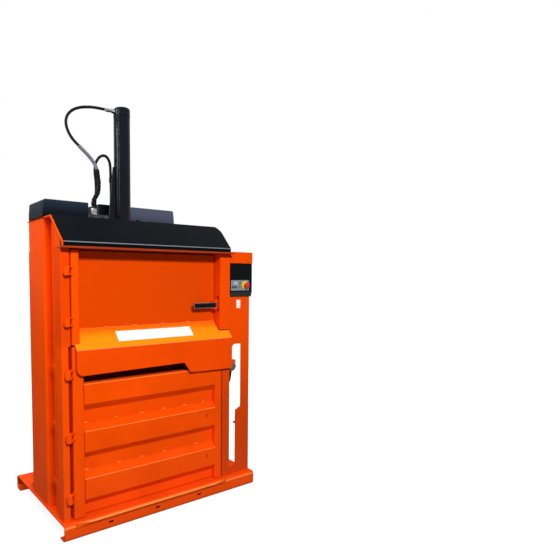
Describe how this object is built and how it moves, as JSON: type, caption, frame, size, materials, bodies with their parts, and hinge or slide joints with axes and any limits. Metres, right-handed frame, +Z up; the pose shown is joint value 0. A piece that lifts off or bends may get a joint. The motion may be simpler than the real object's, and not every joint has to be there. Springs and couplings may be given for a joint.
{
  "type": "vertical recycling baler",
  "caption": "Orange vertical baler with a hydraulic press, a feed door over a ribbed bale door, and a control column at the right.",
  "frame": {"origin": "middle of the whole footprint, on the floor", "axes": "+Z up; the doors face -Y; the control column is on the +X side"},
  "size_m": [1.484, 0.947, 2.696],
  "materials": {
    "orange_paint": "satin",
    "black_paint": "semi_gloss",
    "grey_paint": "satin",
    "plated_steel": "satin",
    "chrome_rod": "polished",
    "valve_aluminium": "satin",
    "hose_rubber": "matte",
    "sleeve_black": "matte",
    "sleeve_grey": "matte",
    "slide_plastic": "matte",
    "black_plastic": "satin",
    "white_plate": "satin",
    "panel_grey": "satin",
    "display_glass": "gloss",
    "lamp_dark": "gloss",
    "green_plastic": "gloss",
    "blue_plastic": "gloss",
    "yellow_plastic": "gloss",
    "red_plastic": "gloss"
  },
  "bodies": {
    "frame": {"base_frame": "orange_paint", "floor_nose": "orange_paint", "chamber_floor": "orange_paint", "left_column": "orange_paint", "right_column": "orange_paint", "left_chamber_wall": "orange_paint", "right_chamber_wall": "orange_paint", "rear_wall": "orange_paint", "hinge_post": "orange_paint", "latch_post": "orange_paint", "head_bottom_plate": "orange_paint", "head_top_plate": "orange_paint", "crossbeam_channels": "orange_paint", "head_cheeks": "orange_paint", "hinge_knuckles": "orange_paint", "hinge_pins": "orange_paint", "control_column": "orange_paint", "control_arm": "orange_paint", "front_cover": "black_paint", "left_head_cover": "black_paint", "rear_cover": "black_paint", "cylinder": "black_paint", "cylinder_flange": "black_paint", "return_pipe": "black_paint", "control_cover": "black_paint", "electric_cabinet": "grey_paint", "pump_motor": "grey_paint", "oil_tank": "grey_paint", "flange_bolts": "plated_steel", "rod_gland": "plated_steel", "valve_cartridges": "plated_steel", "hose_fittings": "plated_steel", "valve_block": "valve_aluminium", "long_hose": "hose_rubber", "short_hose": "hose_rubber", "hose_sleeve": "sleeve_black", "grey_sleeve": "sleeve_grey", "small_plate": "white_plate", "control_panel": "panel_grey", "display_window": "display_glass", "panel_lamps": "lamp_dark", "stop_collar": "yellow_plastic"},
    "platen_group": {"platen": "orange_paint", "platen_guide_pads": "slide_plastic", "piston_rod": "chrome_rod"},
    "bale_door": {"bale_door_plate": "orange_paint", "bale_door_beams": "orange_paint", "bale_door_left_stile": "orange_paint", "bale_door_right_stile": "orange_paint"},
    "feed_door": {"feed_door_panel": "orange_paint", "feed_door_stile": "orange_paint", "shelf_plate": "white_plate", "handle_bracket": "orange_paint"},
    "door_handle": {"handle_lever": "plated_steel", "handle_grip": "black_plastic"},
    "latch": {"latch_spindle": "plated_steel", "latch_lever": "black_plastic"},
    "stop": {"stop_button": "red_plastic"},
    "green": {"green_key": "green_plastic"},
    "blue": {"blue_key": "blue_plastic"}
  },
  "joints": [
    {"name": "press_stroke", "type": "slide", "parent": "frame", "child": "platen_group", "axis": [0, 0, -1], "range_m": [0, 0.85]},
    {"name": "bale_door_hinge", "type": "hinge", "parent": "frame", "child": "bale_door", "pos_m": [-0.696, -0.4265, 0.598], "axis": [0, 0, -1], "range_deg": [0, 95]},
    {"name": "feed_door_hinge", "type": "hinge", "parent": "bale_door", "child": "feed_door", "pos_m": [-0.696, -0.4265, 1.418], "axis": [0, 0, -1], "range_deg": [0, 90]},
    {"name": "handle_turn", "type": "hinge", "parent": "feed_door", "child": "door_handle", "pos_m": [0.416, -0.3855, 1.336], "axis": [0, 0, 1], "range_deg": [0, 75]},
    {"name": "latch_turn", "type": "hinge", "parent": "frame", "child": "latch", "pos_m": [0.546, -0.4215, 0.893], "axis": [0, -1, 0], "range_deg": [0, 90]},
    {"name": "stop_press", "type": "slide", "parent": "frame", "child": "stop", "axis": [0, 1, 0], "range_m": [0, 0.006]},
    {"name": "green_press", "type": "slide", "parent": "frame", "child": "green", "axis": [0, 1, 0], "range_m": [0, 0.0015], "stiffness_N_per_m": 800},
    {"name": "blue_press", "type": "slide", "parent": "frame", "child": "blue", "axis": [0, 1, 0], "range_m": [0, 0.0015], "stiffness_N_per_m": 800}
  ]
}
